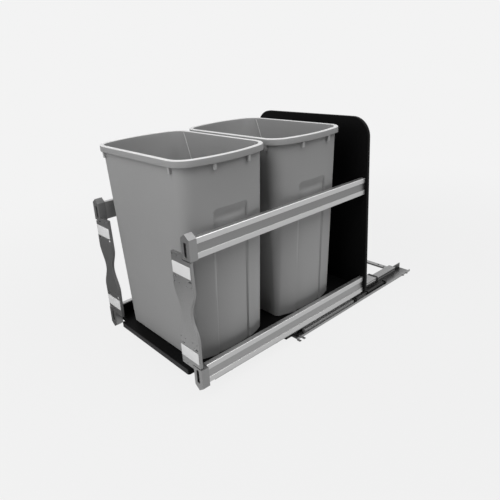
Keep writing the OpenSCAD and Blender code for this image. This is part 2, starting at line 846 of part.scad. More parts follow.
// Half width, half depth and corner radius of a bin's wall at the height z above its bottom
function wall_half_w(z) = rim_half_w - rim_out - bin_draft_w * (1 - z / bin_h);
function wall_half_d(z) = bin_d / 2 - rim_out - bin_draft_d * (1 - z / bin_h);
function wall_corner(z) = bin_foot_r + (bin_r - bin_foot_r) * z / bin_h;

module bin_slice_at(z, inset) {
    translate([0, 0, z]) linear_extrude(bin_slice)
        polygon(bin_ring(wall_half_w(z) - inset, wall_half_d(z) - inset, wall_corner(z) - inset));
}

// The tapering form of a bin, set in from its outer wall
module bin_block(inset, bottom) {
    hull() {
        bin_slice_at(bottom, inset);
        bin_slice_at(bin_h + bin_slice, inset);
    }
}

// The space that the sunk panels take from a tapering form set in by inset
module recess_space(inset) {
    half = recess_w / 2 + inset;
    corner = recess_r + inset;
    top = recess_top + inset;
    bottom = recess_bottom - inset;
    difference() {
        translate([-rail_out, 0, 0]) rotate([90, 0, 90]) linear_extrude(2 * rail_out) union() {
            translate([-half, bottom]) square([2 * half, top - corner - bottom]);
            translate([corner - half, bottom]) square([2 * (half - corner), top - bottom]);
            for (s = [-1, 1]) translate([s * (half - corner), top - corner]) circle(r = corner);
        }
        bin_block(inset + recess_d, 0);
    }
}

module bin(front) {
    rim_corner = bin_r + rim_out;
    gusset_z = bin_h - rim_h - gusset_h;
    bow = bow_r(bin_d / 2);
    gusset_reach = rim_half_w - bow + sqrt(pow(bow, 2) - pow(gusset_y + gusset_t, 2)) - gusset_in;
    color("#8a8b8c") translate([0, front + bin_d / 2, tray_top]) difference() {
        union() {
            difference() {
                bin_block(0, 0);
                recess_space(0);
            }
            translate([0, 0, bin_h - rim_h]) linear_extrude(rim_h) difference() {
                polygon(bin_ring(rim_half_w, bin_d / 2, rim_corner));
                polygon(bin_ring(rim_half_w - bin_wall, bin_d / 2 - bin_wall, rim_corner - bin_wall));
            }
            translate([0, 0, bin_h - bin_wall]) linear_extrude(bin_wall)
                polygon(bin_ring(rim_half_w, bin_d / 2, rim_corner));
            for (s = [-1, 1]) {
                translate([s * gusset_x - gusset_t / 2, gusset_in - bin_d / 2, gusset_z])
                    cube([gusset_t, bin_d - 2 * gusset_in, gusset_h + 1]);
                translate([-gusset_reach, s * gusset_y - gusset_t / 2, gusset_z])
                    cube([2 * gusset_reach, gusset_t, gusset_h + 1]);
            }
        }
        difference() {
            bin_block(bin_wall, bin_wall);
            recess_space(bin_wall);
        }
    }
}

// Right and left pieces
module right_cabinet_runner() { color("#8f9295") on_side(1) cabinet_runner(); }
module left_cabinet_runner() { color("#8f9295") on_side(-1) cabinet_runner(); }
module right_middle_runner() { color("#a2a5a8") on_side(1) middle_runner(); }
module left_middle_runner() { color("#a2a5a8") on_side(-1) middle_runner(); }
module right_carriage_runner() { color("#8a8d90") on_side(1) carriage_runner(); }
module left_carriage_runner() { color("#8a8d90") on_side(-1) carriage_runner(); }
module right_lower_ball_cage() { color("#c0a860") on_side(1) lower_ball_cage(); }
module left_lower_ball_cage() { color("#c0a860") on_side(-1) lower_ball_cage(); }
module right_upper_ball_cage() { color("#c0a860") on_side(1) upper_ball_cage(); }
module left_upper_ball_cage() { color("#c0a860") on_side(-1) upper_ball_cage(); }
module right_lower_balls() { color("#d8dadc") on_side(1) ball_set(track_half, lower_ball_z, lower_cage_y); }
module left_lower_balls() { color("#d8dadc") on_side(-1) ball_set(track_half, lower_ball_z, lower_cage_y); }
module right_upper_balls() { color("#d8dadc") on_side(1) ball_set(middle_out, upper_ball_z, upper_cage_y); }
module left_upper_balls() { color("#d8dadc") on_side(-1) ball_set(middle_out, upper_ball_z, upper_cage_y); }
module right_front_guide() { on_side(1) front_guide(); }
module left_front_guide() { on_side(-1) front_guide(); }
module right_soft_close_housing() { on_side(1) soft_close_housing(); }
module left_soft_close_housing() { on_side(-1) soft_close_housing(); }
module right_damper_barrel() { on_side(1) damper_barrel(); }
module left_damper_barrel() { on_side(-1) damper_barrel(); }
module right_damper_end_cap() { on_side(1) damper_end_cap(); }
module left_damper_end_cap() { on_side(-1) damper_end_cap(); }
module right_soft_close_slider() { on_side(1) soft_close_slider(); }
module left_soft_close_slider() { on_side(-1) soft_close_slider(); }
module right_damper_rod() { on_side(1) damper_rod(); }
module left_damper_rod() { on_side(-1) damper_rod(); }
module right_end_collar() { on_side(1) end_collar(); }
module left_end_collar() { on_side(-1) end_collar(); }
module right_catch_finger() { on_side(1) catch_finger(); }
module left_catch_finger() { on_side(-1) catch_finger(); }
module right_door_plate() { on_side(1) door_plate(); }
module left_door_plate() { on_side(-1) door_plate(); }
module right_adhesive_pads() { on_side(1) adhesive_pads(); }
module left_adhesive_pads() { on_side(-1) adhesive_pads(); }
module upper_right_rail() { on_side(1) side_rail(upper_rail_z); }
module upper_left_rail() { on_side(-1) side_rail(upper_rail_z); }
module lower_right_rail() { on_side(1) side_rail(floor_gap); }
module lower_left_rail() { on_side(-1) side_rail(floor_gap); }
module upper_right_bracket() { on_side(1) at_level(1) bracket(); }
module upper_left_bracket() { on_side(-1) at_level(1) bracket(); }
module lower_right_bracket() { on_side(1) at_level(-1) bracket(); }
module lower_left_bracket() { on_side(-1) at_level(-1) bracket(); }

module front_bin() { bin(front_y + bin_front); }
module rear_bin() { bin(front_y + bin_front + bin_pitch); }

right_cabinet_runner();
left_cabinet_runner();
rear_cross_bar();
cross_bar_rivets();
right_front_guide();
left_front_guide();
right_soft_close_housing();
left_soft_close_housing();
right_damper_barrel();
left_damper_barrel();
right_damper_end_cap();
left_damper_end_cap();
right_soft_close_slider();
left_soft_close_slider();
right_damper_rod();
left_damper_rod();
right_lower_ball_cage();
left_lower_ball_cage();
right_lower_balls();
left_lower_balls();
right_middle_runner();
left_middle_runner();
right_end_collar();
left_end_collar();
right_upper_ball_cage();
left_upper_ball_cage();
right_upper_balls();
left_upper_balls();
right_carriage_runner();
left_carriage_runner();
right_catch_finger();
left_catch_finger();
base_tray();
back_panel();
upper_right_rail();
upper_left_rail();
lower_right_rail();
lower_left_rail();
upper_right_bracket();
upper_left_bracket();
lower_right_bracket();
lower_left_bracket();
bracket_screws();
clamp_screws();
panel_screws();
tray_screws();
rail_screws();
right_door_plate();
left_door_plate();
right_adhesive_pads();
left_adhesive_pads();
front_bin();
rear_bin();
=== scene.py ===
import math
import bmesh
import bpy
import numpy as np
from mathutils import Matrix, Vector


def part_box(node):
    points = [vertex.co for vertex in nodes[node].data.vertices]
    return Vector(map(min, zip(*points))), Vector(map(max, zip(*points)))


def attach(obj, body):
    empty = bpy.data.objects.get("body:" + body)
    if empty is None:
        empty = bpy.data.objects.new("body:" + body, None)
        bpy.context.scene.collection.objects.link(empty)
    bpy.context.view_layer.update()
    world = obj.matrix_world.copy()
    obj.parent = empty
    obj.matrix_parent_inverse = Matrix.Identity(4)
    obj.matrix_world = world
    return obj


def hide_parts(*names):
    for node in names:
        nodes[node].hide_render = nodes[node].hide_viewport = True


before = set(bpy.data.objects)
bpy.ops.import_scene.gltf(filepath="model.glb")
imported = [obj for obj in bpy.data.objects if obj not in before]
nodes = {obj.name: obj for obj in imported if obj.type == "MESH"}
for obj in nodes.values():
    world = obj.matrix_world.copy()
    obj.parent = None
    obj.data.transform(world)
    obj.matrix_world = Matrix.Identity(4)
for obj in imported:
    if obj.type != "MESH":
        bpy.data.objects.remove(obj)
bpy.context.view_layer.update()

# Studio
# A pale seamless floor under large soft lamps, a low lamp for the sides under the rails, and a black card
# that only reflections show. The camera stands where the photograph was taken from: right of the frame,
# a little above the bins' rims.
EYE = Vector((0.83535, -0.95957, 0.63999))
AZIMUTH = math.radians(49.05)
ELEVATION = math.radians(18.44)
ROLL = math.radians(3.4725)
LENS = 35.1365
SENSOR = 36.0
SHIFT = (0.01133, -0.07434)
BACKDROP = (0.896, 0.896, 0.896, 1.0)
AMBIENT = (0.085, 0.085, 0.085, 1.0)
FLOOR_GREY = (0.5, 0.5, 0.5)
FLOOR_HALF = 30.0
FLOOR_DROP = 0.0005
FADE_START = 0.4
FADE_END = 1.6
GLOW_NEAR = 0.93
LAMPS_LOOK_AT = (0.0, -0.25, 0.25)
CARD_BLACK = (0.02, 0.02, 0.02)
CARD = [
    (-2.6, -1.8), (-0.8, -1.3), (-0.3, -1.3), (-0.3, -0.74), (-0.18, -0.62), (-0.18, -0.5), (-2.6, -0.5),
]

ahead = Vector((
    -math.sin(AZIMUTH) * math.cos(ELEVATION),
    math.cos(AZIMUTH) * math.cos(ELEVATION),
    -math.sin(ELEVATION),
))
level = Vector((math.cos(AZIMUTH), math.sin(AZIMUTH), 0.0))
upright = level.cross(ahead)
right = level * math.cos(ROLL) - upright * math.sin(ROLL)
up = right.cross(ahead)
camera_data = bpy.data.cameras.new("photo_camera")
camera_data.lens = LENS
camera_data.sensor_width = SENSOR
camera_data.shift_x, camera_data.shift_y = SHIFT
camera = bpy.data.objects.new("photo_camera", camera_data)
bpy.context.scene.collection.objects.link(camera)
camera.matrix_world = Matrix((
    (right.x, up.x, -ahead.x, EYE.x),
    (right.y, up.y, -ahead.y, EYE.y),
    (right.z, up.z, -ahead.z, EYE.z),
    (0.0, 0.0, 0.0, 1.0),
))
bpy.context.scene.camera = camera
bpy.context.scene.view_settings.view_transform = "Standard"


def seen_directly(tree):
    """1 where the camera, a reflection or a view through glass looks at this surface, and 0 for its light."""
    path = tree.nodes.new("ShaderNodeLightPath")
    glossy = tree.nodes.new("ShaderNodeMath")
    glossy.operation = "MAXIMUM"
    tree.links.new(path.outputs["Is Camera Ray"], glossy.inputs[0])
    tree.links.new(path.outputs["Is Glossy Ray"], glossy.inputs[1])
    seen = tree.nodes.new("ShaderNodeMath")
    seen.operation = "MAXIMUM"
    tree.links.new(glossy.outputs[0], seen.inputs[0])
    tree.links.new(path.outputs["Is Transmission Ray"], seen.inputs[1])
    return seen.outputs[0]


world = bpy.data.worlds.new("studio")
bpy.context.scene.world = world
world.use_nodes = True
tree = world.node_tree
ambient = tree.nodes["Background"]
ambient.inputs["Color"].default_value = AMBIENT
backdrop = tree.nodes.new("ShaderNodeBackground")
backdrop.inputs["Color"].default_value = BACKDROP
blend = tree.nodes.new("ShaderNodeMixShader")
tree.links.new(seen_directly(tree), blend.inputs[0])
tree.links.new(ambient.outputs[0], blend.inputs[1])
tree.links.new(backdrop.outputs[0], blend.inputs[2])
tree.links.new(blend.outputs[0], tree.nodes["World Output"].inputs["Surface"])


def new_material(name, colour, roughness, metallic=0.0, specular=0.5):
    """A material and its shader, with its plain numbers set on the shader's own sockets."""
    material = bpy.data.materials.new(name)
    material.use_nodes = True
    shader = material.node_tree.nodes["Principled BSDF"]
    shader.inputs["Base Color"].default_value = (*colour, 1.0)
    shader.inputs["Roughness"].default_value = roughness
    shader.inputs["Metallic"].default_value = metallic
    shader.inputs["Specular IOR Level"].default_value = specular
    return material


def ground_sheet(name, corners, material):
    """One flat face through corners, given as X and Y at height 0."""
    mesh = bpy.data.meshes.new(name)
    mesh.from_pydata([(x, y, 0.0) for x, y in corners], [], [tuple(range(len(corners)))])
    mesh.materials.append(material)
    sheet = bpy.data.objects.new(name, mesh)
    bpy.context.scene.collection.objects.link(sheet)
    return sheet


floor_paint = new_material("studio_floor", FLOOR_GREY, 0.9, specular=0.0)
tree = floor_paint.node_tree
glow = tree.nodes.new("ShaderNodeEmission")
glow.inputs["Color"].default_value = BACKDROP
place = tree.nodes.new("ShaderNodeTexCoord")
reach = tree.nodes.new("ShaderNodeVectorMath")
reach.operation = "LENGTH"
tree.links.new(place.outputs["Object"], reach.inputs[0])
fade = tree.nodes.new("ShaderNodeMapRange")
fade.interpolation_type = "SMOOTHSTEP"
fade.inputs["From Min"].default_value = FADE_START
fade.inputs["From Max"].default_value = FADE_END
fade.inputs["To Min"].default_value = GLOW_NEAR
fade.inputs["To Max"].default_value = 1.0
tree.links.new(reach.outputs["Value"], fade.inputs["Value"])
share = tree.nodes.new("ShaderNodeMath")
share.operation = "MULTIPLY"
tree.links.new(fade.outputs["Result"], share.inputs[0])
tree.links.new(seen_directly(tree), share.inputs[1])
blend = tree.nodes.new("ShaderNodeMixShader")
tree.links.new(share.outputs[0], blend.inputs[0])
tree.links.new(tree.nodes["Principled BSDF"].outputs[0], blend.inputs[1])
tree.links.new(glow.outputs[0], blend.inputs[2])
tree.links.new(blend.outputs[0], tree.nodes["Material Output"].inputs["Surface"])
floor_corners = FLOOR_HALF * np.array([(-1, -1), (1, -1), (1, 1), (-1, 1)])
floor = ground_sheet("studio_floor", floor_corners.tolist(), floor_paint)
floor.location.z = -FLOOR_DROP


def aimed(name, data, place, target):
    """A lamp at place that looks at target."""
    lamp = bpy.data.objects.new(name, data)
    lamp.location = place
    lamp.rotation_euler = (Vector(target) - Vector(place)).to_track_quat("-Z", "Y").to_euler()
    bpy.context.scene.collection.objects.link(lamp)
    return lamp


def softbox(name, place, target, size, power):
    """A square area lamp at place that looks at target."""
    data = bpy.data.lights.new(name, "AREA")
    data.shape = "SQUARE"
    data.size = size
    data.energy = power
    return aimed(name, data, place, target)


softbox("front_softbox", (0.2, -2.6, 0.9), LAMPS_LOOK_AT, size=1.4, power=19.5)
softbox("right_softbox", (1.3, 0.3, 2.2), LAMPS_LOOK_AT, size=1.5, power=36.0)
softbox("top_softbox", (0.3, -1.8, 2.2), LAMPS_LOOK_AT, size=1.5, power=36.0)
left_softbox = softbox("left_softbox", (-2.0, 0.7, 0.9), (0.0, -0.2, 0.25), size=1.5, power=20.0)
left_softbox.visible_glossy = False
low_data = bpy.data.lights.new("low_spot", "SPOT")
low_data.shadow_soft_size = 0.24
low_data.spot_size = math.radians(23.0)
low_data.spot_blend = 1.0
low_data.energy = 70.0
low_spot = aimed("low_spot", low_data, (1.1, 1.1, 0.155), (0.15, -0.3, 0.115))
low_spot.visible_glossy = False

card = ground_sheet("black_card", CARD, new_material("black_card", CARD_BLACK, 0.9, specular=0.0))
card.visible_camera = False
card.visible_diffuse = False
card.visible_shadow = False

# Cabinet runners
# Two long steel profiles screwed to the cabinet floor, rolled from zinc-plated strip with a raised track
# and a low outer lip. The strip's rolling marks run along the runner. The gutter below the track's top is
# painted dark, partly as grease and partly as painted shade.
ZINC_GREY = 0.3
WEB_X = 0.1366
WEB_SOFT = 0.0003
LIP_X = 0.1705
TRACK_TOP = 0.019
# Painted shade and grease: where the gutter's painted darkening starts, where it is full, and its grey.
GREASE_AND_SHADE_STARTS = 0.0015
GREASE_AND_SHADE_FULL = 0.0045
GREASE_AND_SHADE_GREY = 0.07


def grain(material, scale, stretch=(1.0, 1.0, 1.0), detail=4.0):
    """Noise on Object coordinates with scale waves a metre, times stretch along each axis, from 0 to 1."""
    tree = material.node_tree
    place = tree.nodes.new("ShaderNodeTexCoord")
    mapping = tree.nodes.new("ShaderNodeMapping")
    mapping.inputs["Scale"].default_value = stretch
    noise = tree.nodes.new("ShaderNodeTexNoise")
    noise.inputs["Scale"].default_value = scale
    noise.inputs["Detail"].default_value = detail
    tree.links.new(place.outputs["Object"], mapping.inputs["Vector"])
    tree.links.new(mapping.outputs["Vector"], noise.inputs["Vector"])
    return noise.outputs["Fac"]


def shader_input(material, name):
    """A socket of the material's shader."""
    return material.node_tree.nodes["Principled BSDF"].inputs[name]


def vary_roughness(material, factor, low, high):
    """Turns a factor's middle range, 0.3 to 0.7, into roughness from low to high."""
    node = material.node_tree.nodes.new("ShaderNodeMapRange")
    node.inputs["From Min"].default_value = 0.3
    node.inputs["From Max"].default_value = 0.7
    node.inputs["To Min"].default_value = low
    node.inputs["To Max"].default_value = high
    material.node_tree.links.new(factor, node.inputs["Value"])
    material.node_tree.links.new(node.outputs["Result"], shader_input(material, "Roughness"))


def two_tone(material, factor, first, second):
    """Colour that goes from first to second as factor goes from 0 to 1."""
    mix = material.node_tree.nodes.new("ShaderNodeMix")
    mix.data_type = "RGBA"
    mix.inputs["A"].default_value = (*first, 1.0)
    mix.inputs["B"].default_value = (*second, 1.0)
    material.node_tree.links.new(factor, mix.inputs["Factor"])
    return mix.outputs["Result"]


def toned(material, factor, colour, grey):
    """Colour that goes to a plain grey as factor goes from 0 to 1."""
    mix = material.node_tree.nodes.new("ShaderNodeMix")
    mix.data_type = "RGBA"
    mix.inputs["B"].default_value = (grey, grey, grey, 1.0)
    material.node_tree.links.new(colour, mix.inputs["A"])
    material.node_tree.links.new(factor, mix.inputs["Factor"])
    return mix.outputs["Result"]


def axis(material, letter):
    """The Object coordinate X, Y or Z."""
    place = material.node_tree.nodes.new("ShaderNodeTexCoord")
    axes = material.node_tree.nodes.new("ShaderNodeSeparateXYZ")
    material.node_tree.links.new(place.outputs["Object"], axes.inputs[0])
    return axes.outputs[letter]


def apart(material, letter, middle):
    """How far the Object coordinate X, Y or Z is from middle, on either side."""
    shifted = material.node_tree.nodes.new("ShaderNodeMath")
    shifted.operation = "SUBTRACT"
    shifted.inputs[1].default_value = middle
    unsigned = material.node_tree.nodes.new("ShaderNodeMath")
    unsigned.operation = "ABSOLUTE"
    material.node_tree.links.new(axis(material, letter), shifted.inputs[0])
    material.node_tree.links.new(shifted.outputs[0], unsigned.inputs[0])
    return unsigned.outputs[0]


def ramp(material, value, zero_at, one_at):
    """0 where value is at zero_at, 1 where it is at one_at, and in proportion between them."""
    node = material.node_tree.nodes.new("ShaderNodeMapRange")
    node.inputs["From Min"].default_value = zero_at
    node.inputs["From Max"].default_value = one_at
    material.node_tree.links.new(value, node.inputs["Value"])
    return node.outputs["Result"]


def product(material, first, second):
    """First times second."""
    node = material.node_tree.nodes.new("ShaderNodeMath")
    node.operation = "MULTIPLY"
    material.node_tree.links.new(first, node.inputs[0])
    material.node_tree.links.new(second, node.inputs[1])
    return node.outputs[0]


def paint(material, colour):
    """Makes colour the material's colour."""
    material.node_tree.links.new(colour, shader_input(material, "Base Color"))


def emboss(material, factor, depth):
    """Bump whose full height is depth, in metres."""
    bump = material.node_tree.nodes.new("ShaderNodeBump")
    bump.inputs["Distance"].default_value = depth
    bump.inputs["Strength"].default_value = 1.0
    material.node_tree.links.new(factor, bump.inputs["Height"])
    material.node_tree.links.new(bump.outputs["Normal"], shader_input(material, "Normal"))


def shades(grey, step):
    """A darker and a lighter grey, step to either side of grey as a share of it."""
    return (grey * (1 - step),) * 3, (grey * (1 + step),) * 3


def dress(names, material, edge=0.0):
    """Gives CAD nodes a material. With an edge, their triangles are joined and their edges rounded by it."""
    for name in names:
        piece = nodes[name]
        piece.data.materials.clear()
        piece.data.materials.append(material)
        if edge:
            weld = piece.modifiers.new("weld", "WELD")
            weld.merge_threshold = 1e-5
            flat = piece.modifiers.new("flat", "DECIMATE")
            flat.decimate_type = "DISSOLVE"
            flat.angle_limit = math.radians(1.0)
            bevel = piece.modifiers.new("edge", "BEVEL")
            bevel.width = edge
            bevel.segments = 2
            bevel.limit_method = "ANGLE"
            bevel.angle_limit = math.radians(40.0)
            bevel.harden_normals = False
            weighted = piece.modifiers.new("normals", "WEIGHTED_NORMAL")
            weighted.keep_sharp = False


def both(name):
    """The names of the right and the left one of a pair of nodes."""
    return [f"right_{name}", f"left_{name}"]


runner_steel = new_material("zinc_plated_steel", (0.3, 0.305, 0.31), 0.36, metallic=1.0)
zinc = two_tone(runner_steel, grain(runner_steel, 14.0, (6, 0.4, 6)), *shades(ZINC_GREY, 0.16))
outwards = apart(runner_steel, "X", 0.0)
height = axis(runner_steel, "Z")
in_gutter = product(
    runner_steel,
    ramp(runner_steel, outwards, WEB_X - WEB_SOFT, WEB_X),
    ramp(runner_steel, outwards, LIP_X, WEB_X),
)
# Painted shade: the gutter between web and lip is painted dark below the track's top, partly grease and
# partly the shade in the gutter.
greased_and_shaded = product(
    runner_steel, in_gutter,
    ramp(runner_steel, height, TRACK_TOP - GREASE_AND_SHADE_STARTS, TRACK_TOP - GREASE_AND_SHADE_FULL),
)
paint(runner_steel, toned(runner_steel, greased_and_shaded, zinc, GREASE_AND_SHADE_GREY))
vary_roughness(runner_steel, grain(runner_steel, 900.0, (1, 0.03, 1)), 0.28, 0.46)
emboss(runner_steel, grain(runner_steel, 700.0, (1, 0.04, 1)), 0.00004)
dress(both("cabinet_runner"), runner_steel, edge=0.0004)

# Rear cross bar
# A folded steel channel that ties the two runners together at the back, with screw holes near its ends.
# A strip closes it from below, and a tab at each end is held to the runner's web by two bright rivets.
BAR_GREY = 0.34
# Painted shade on the bar's front face: its grey, and where it starts and is full.
FRONT_SHADE_GREY = 0.1
FRONT_SHADE_STARTS = 0.0006
FRONT_SHADE_FULL = 0.0002
STRIP_T = 0.0008
STRIP_INSET = 0.0018
BRIGHT_GREY = 0.55

bar_steel = new_material("cross_bar_steel", (0.34, 0.345, 0.35), 0.34, metallic=1.0)
bar_zinc = two_tone(bar_steel, grain(bar_steel, 14.0, (0.4, 6, 6)), *shades(BAR_GREY, 0.14))
bar_low, bar_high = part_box("rear_cross_bar")
# Painted shade and reflection: the bar's front face is painted dark, standing in for its shade and for the
# black back panel that it reflects.
front_shaded = ramp(bar_steel, axis(bar_steel, "Y"), bar_low.y + FRONT_SHADE_STARTS, bar_low.y + FRONT_SHADE_FULL)
paint(bar_steel, toned(bar_steel, front_shaded, bar_zinc, FRONT_SHADE_GREY))
vary_roughness(bar_steel, grain(bar_steel, 900.0, (0.03, 1, 1)), 0.26, 0.42)
dress(["rear_cross_bar"], bar_steel, edge=0.0004)


def rectangle(left, low, right, high):
    """Corners of a rectangle, from the lower left one round."""
    return [(left, low), (right, low), (right, high), (left, high)]


def rounded_outline(corners, radii, steps):
    """A closed outline through corners, each turned by an arc of its radius.
    The arc touches both sides at the distance radius / tan(half the corner's angle), its centre lies on
    the corner's bisector, and its points swing evenly from one touching point to the other."""
    corners = np.asarray(corners, float)
    radii = np.broadcast_to(np.asarray(radii, float), len(corners))[:, None]
    before = np.roll(corners, 1, axis=0) - corners
    after = np.roll(corners, -1, axis=0) - corners
    before /= np.linalg.norm(before, axis=1, keepdims=True)
    after /= np.linalg.norm(after, axis=1, keepdims=True)
    half = np.arccos(np.clip((before * after).sum(1, keepdims=True), -1, 1)) / 2
    bisector = before + after
    bisector /= np.linalg.norm(bisector, axis=1, keepdims=True)
    centre = corners + bisector * radii / np.sin(half)
    start = corners + before * radii / np.tan(half) - centre
    end = corners + after * radii / np.tan(half) - centre
    sweep = (np.pi - 2 * half)[:, None]
    t = np.linspace(0, 1, steps)[None, :, None]
    points = (np.sin((1 - t) * sweep) * start[:, None] + np.sin(t * sweep) * end[:, None]) / np.sin(sweep)
    return (centre[:, None] + points).reshape(-1, 2)


def closed_piece(name, points, faces):
    """A piece through points, with its faces turned outwards."""
    mesh = bpy.data.meshes.new(name)
    mesh.from_pydata(points.reshape(-1, 3).tolist(), [], faces)
    shape = bmesh.new()
    shape.from_mesh(mesh)
    bmesh.ops.recalc_face_normals(shape, faces=shape.faces)
    shape.to_mesh(mesh)
    shape.free()
    piece = bpy.data.objects.new(name, mesh)
    bpy.context.scene.collection.objects.link(piece)
    return piece


def skin(name, rings, smooth_to=35.0):
    """A closed piece through rings, an array of rings by points by 3, with a flat face over each end ring.
    Edges that turn by more than smooth_to degrees stay sharp."""
    rows, columns = rings.shape[:2]
    row, column = np.meshgrid(np.arange(rows - 1), np.arange(columns), indexing="ij")
    beside = (column + 1) % columns
    here, above = row * columns, (row + 1) * columns
    quads = np.stack([here + column, here + beside, above + beside, above + column], -1).reshape(-1, 4)
    ends = [list(range(columns))[::-1], list(range((rows - 1) * columns, rows * columns))]
    piece = closed_piece(name, rings, quads.tolist() + ends)
    piece.data.shade_smooth()
    piece.data.set_sharp_from_angle(angle=math.radians(smooth_to))
    return piece


strip_outline = rounded_outline(
    rectangle(
        bar_low.x + STRIP_INSET, bar_low.y + STRIP_INSET,
        bar_high.x - STRIP_INSET, bar_high.y - STRIP_INSET,
    ),
    STRIP_T, steps=5,
)
strip_rings = np.empty((2, len(strip_outline), 3))
strip_rings[..., :2] = strip_outline
strip_rings[..., 2] = bar_low.z + np.array([0.0, STRIP_T])[:, None]
strip = skin("cross_bar_strip", strip_rings)
strip.data.materials.append(bar_steel)
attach(strip, "cabinet_base")

bright_steel = new_material("bright_steel", (0.55, 0.555, 0.56), 0.25, metallic=1.0)
paint(bright_steel, two_tone(bright_steel, grain(bright_steel, 60.0), *shades(BRIGHT_GREY, 0.1)))
vary_roughness(bright_steel, grain(bright_steel, 1200.0), 0.18, 0.34)
dress(["cross_bar_rivets"], bright_steel, edge=0.0003)

# Soft-close units
# A grey moulded housing in each runner's gutter pulls a black slider back over the last of the travel.
# The slider pushes a steel rod into a black damper barrel that an end cap holds in the gutter.
HOUSING_GREY = 0.27
MOULDING_GREY = 0.012
ROD_GREY = 0.08

grey_plastic = new_material("housing_plastic", (0.27, 0.27, 0.272), 0.5)
paint(grey_plastic, two_tone(grey_plastic, grain(grey_plastic, 30.0), *shades(HOUSING_GREY, 0.06)))
vary_roughness(grey_plastic, grain(grey_plastic, 500.0), 0.42, 0.58)
emboss(grey_plastic, grain(grey_plastic, 1800.0), 0.000003)
dress(both("soft_close_housing"), grey_plastic, edge=0.0012)

black_plastic = new_material("black_moulding", (0.012, 0.012, 0.0125), 0.45, specular=0.3)
paint(black_plastic, two_tone(black_plastic, grain(black_plastic, 40.0), *shades(MOULDING_GREY, 0.2)))
vary_roughness(black_plastic, grain(black_plastic, 600.0), 0.36, 0.56)
emboss(black_plastic, grain(black_plastic, 1800.0), 0.00003)
dress(both("soft_close_slider") + both("damper_end_cap") + both("front_guide"), black_plastic, edge=0.0005)
dress(both("damper_barrel"), black_plastic)

rod_steel = new_material("oiled_rod", (0.08, 0.08, 0.082), 0.3, metallic=1.0)
paint(rod_steel, two_tone(rod_steel, grain(rod_steel, 60.0, (4, 0.5, 4)), *shades(ROD_GREY, 0.15)))
vary_roughness(rod_steel, grain(rod_steel, 900.0, (1, 0.05, 1)), 0.24, 0.36)
dress(both("damper_rod"), rod_steel)

# Telescoping runners
# The middle runner rolls on the cabinet runner and the carriage runner rolls on the middle one, each on
# a row of steel balls in a thin brass cage. A black collar closes the middle runner's back end.
SLIDE_GREY = 0.36
DARK_BRASS = (0.44, 0.33, 0.14)
PALE_BRASS = (0.56, 0.43, 0.18)

slide_steel = new_material("slide_steel", (0.36, 0.365, 0.37), 0.3, metallic=1.0)
paint(slide_steel, two_tone(slide_steel, grain(slide_steel, 12.0, (6, 0.4, 6)), *shades(SLIDE_GREY, 0.12)))
vary_roughness(slide_steel, grain(slide_steel, 900.0, (1, 0.03, 1)), 0.22, 0.38)
emboss(slide_steel, grain(slide_steel, 700.0, (1, 0.04, 1)), 0.00003)
dress(both("middle_runner") + both("carriage_runner"), slide_steel, edge=0.0004)
dress(both("end_collar") + both("catch_finger"), black_plastic, edge=0.0005)

cage_brass = new_material("cage_brass", (0.5, 0.38, 0.16), 0.38, metallic=1.0)
paint(cage_brass, two_tone(cage_brass, grain(cage_brass, 40.0), DARK_BRASS, PALE_BRASS))
vary_roughness(cage_brass, grain(cage_brass, 900.0), 0.3, 0.46)
dress(both("lower_ball_cage") + both("upper_ball_cage"), cage_brass)
dress(both("lower_balls") + both("upper_balls"), bright_steel)

# Base tray
# A black coated board with thin upright sides, cut away at its front corners for the lower brackets.
# It lies on the carriage runners and screws hold it from below. Its front edge is banded, a little paler.
BOARD_BLACK = (0.0032, 0.0032, 0.0033)
TRAY_BAND = (0.03, 0.03, 0.0305)
TRAY_BAND_STARTS = 0.0012
TRAY_BAND_FULL = 0.0006

tray_low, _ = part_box("base_tray")
tray_coat = new_material("tray_coating", BOARD_BLACK, 0.5, specular=0.04)
tray_banded = ramp(
    tray_coat, axis(tray_coat, "Y"),
    tray_low.y + TRAY_BAND_STARTS, tray_low.y + TRAY_BAND_FULL,
)
paint(tray_coat, two_tone(tray_coat, tray_banded, BOARD_BLACK, TRAY_BAND))
vary_roughness(tray_coat, grain(tray_coat, 300.0), 0.4, 0.6)
emboss(tray_coat, grain(tray_coat, 1200.0), 0.00004)
dress(["base_tray"], tray_coat, edge=0.0006)
dress(["tray_screws", "rail_screws"], bright_steel, edge=0.0003)

# Back panel
# A black coated board that stands across the back of the carriage, with its top corners cut round.
# Screws through it hold the rails' ends and the tray's back edge, and its cut edge is banded.
PANEL_CORNER = 0.046
PANEL_FOOT = 0.002
PANEL_EDGE = 0.0012
PANEL_BAND = (0.006, 0.006, 0.0062)
PANEL_BAND_STARTS = 0.0002
PANEL_BAND_FULL = 0.0008


def drawn_in(outline, distance):
    """A closed outline moved inwards by distance along the bisector of each point's two sides."""
    along = np.roll(outline, -1, axis=0) - np.roll(outline, 1, axis=0)
    along /= np.linalg.norm(along, axis=1, keepdims=True)
    inward = np.stack([-along[:, 1], along[:, 0]], 1)
    area = (outline[:, 0] * np.roll(outline[:, 1], -1) - np.roll(outline[:, 0], -1) * outline[:, 1]).sum()
    return outline + inward * distance * np.sign(area)


def slab(name, outline, front, back, edge):
    """A board from an outline in X and Z between two Y planes, its edges turned by a quarter circle of edge.
    Going round the quarter circle, the outline is drawn in by edge * (1 - sin) while Y moves by
    edge * (1 - cos)."""
    turn = np.linspace(0, np.pi / 2, 4)
    inset = np.concatenate([edge * (1 - np.sin(turn)), edge * (1 - np.sin(turn[::-1]))])
    depth = np.concatenate([front + edge * (1 - np.cos(turn)), back - edge * (1 - np.cos(turn[::-1]))])
    flat = np.stack([drawn_in(outline, d) for d in inset])
    rings = np.stack([flat[..., 0], np.broadcast_to(depth[:, None], flat.shape[:2]), flat[..., 1]], -1)
    return skin(name, rings)


